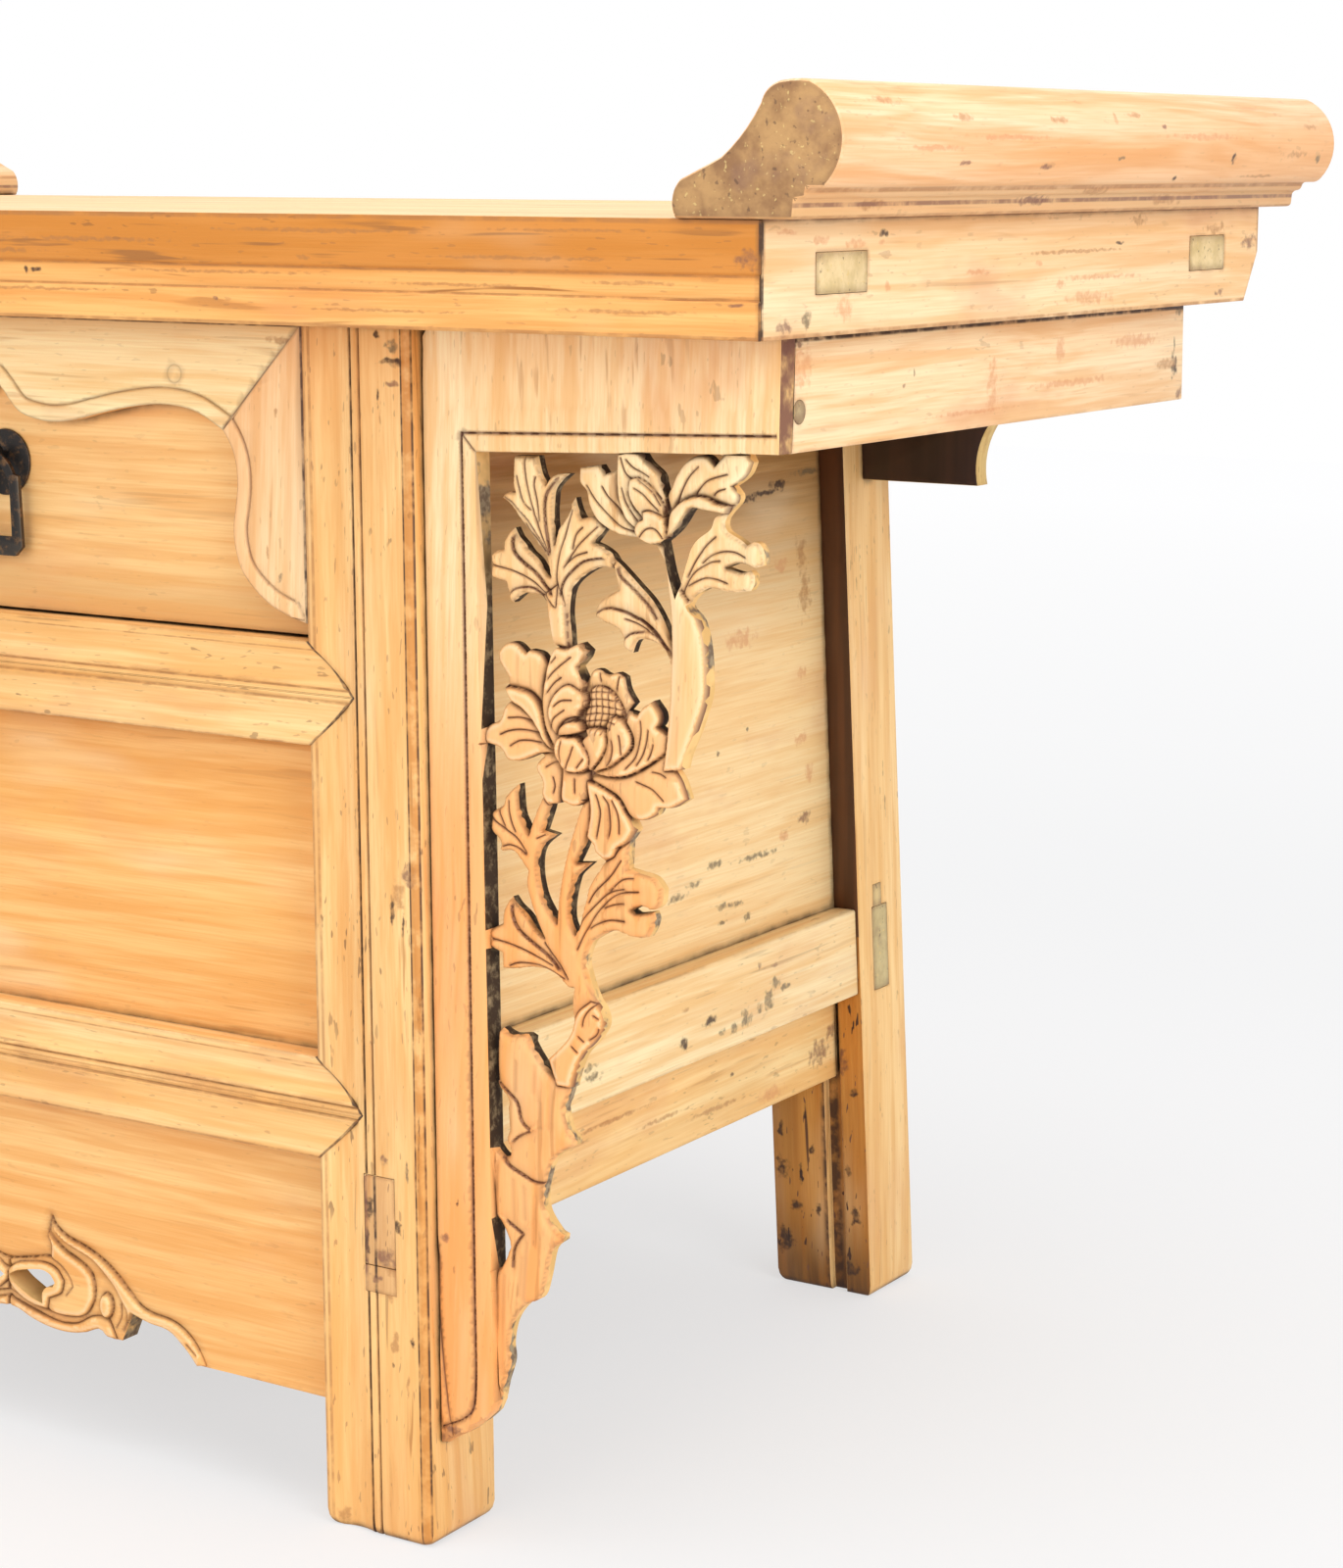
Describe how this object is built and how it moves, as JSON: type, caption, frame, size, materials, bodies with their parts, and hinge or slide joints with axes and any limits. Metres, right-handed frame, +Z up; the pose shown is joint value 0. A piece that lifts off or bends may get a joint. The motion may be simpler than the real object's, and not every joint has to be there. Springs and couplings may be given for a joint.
{
  "type": "single-drawer altar coffer",
  "caption": "Pine altar coffer with everted flanges, splayed posts, peony openwork spandrels, an arched drawer with an iron pull, and a hidden compartment.",
  "frame": {"origin": "centre of the bounding box's underside, on the floor below the middle of the table", "axes": "+X along the long front toward the right-hand flange as seen from the front, +Y from the front to the back, +Z up"},
  "size_m": [1.268, 0.66, 0.85],
  "materials": {
    "frame_pine": "satin",
    "flange_pine": "satin",
    "carved_pine": "satin",
    "top_pine": "satin",
    "aged_pine": "matte",
    "panel_pine": "satin",
    "end_grain_pine": "matte",
    "drawer_pine": "satin",
    "dark_iron": "matte"
  },
  "bodies": {
    "frame": {"top_rail_front": "top_pine", "top_rail_rear": "top_pine", "top_rail_end_right": "top_pine", "top_rail_end_left": "top_pine", "top_panel": "top_pine", "top_battens": "aged_pine", "flange_right": "flange_pine", "flange_left": "flange_pine", "post_front_right": "frame_pine", "post_front_left": "frame_pine", "post_rear_right": "frame_pine", "post_rear_left": "frame_pine", "rail_front_upper": "frame_pine", "rail_front_lower": "frame_pine", "panel_front": "panel_pine", "apron_front": "carved_pine", "side_rail_right": "frame_pine", "side_rail_left": "frame_pine", "side_panel_right": "panel_pine", "side_panel_left": "panel_pine", "side_stretcher_right": "frame_pine", "side_stretcher_left": "frame_pine", "rail_rear_upper": "aged_pine", "rail_rear_lower": "aged_pine", "panel_rear_upper": "aged_pine", "panel_rear_lower": "aged_pine", "compartment_floor": "aged_pine", "floor_ledges": "aged_pine", "drawer_runner_right": "aged_pine", "drawer_runner_left": "aged_pine", "drawer_guide_right": "aged_pine", "drawer_guide_left": "aged_pine", "spandrel_right": "carved_pine", "spandrel_left": "carved_pine", "bracket_rear_right": "aged_pine", "bracket_rear_left": "aged_pine", "end_board_right": "flange_pine", "end_board_left": "flange_pine", "wood_pegs": "end_grain_pine", "tenon_wedges": "end_grain_pine"},
    "drawer": {"drawer_front": "drawer_pine", "drawer_arch_top": "drawer_pine", "drawer_arch_right": "drawer_pine", "drawer_arch_left": "drawer_pine", "drawer_side_right": "aged_pine", "drawer_side_left": "aged_pine", "drawer_back": "aged_pine", "drawer_bottom": "aged_pine", "pull_plate": "dark_iron", "pull_staple": "dark_iron"},
    "bail": {"pull_bail": "dark_iron"}
  },
  "joints": [
    {"name": "drawer_slide", "type": "slide", "parent": "frame", "child": "drawer", "axis": [0, -1, 0], "range_m": [0, 0.36]},
    {"name": "bail_swing", "type": "hinge", "parent": "drawer", "child": "bail", "pos_m": [0, -0.27167, 0.629], "axis": [-1, 0, 0], "range_deg": [0, 95]}
  ]
}
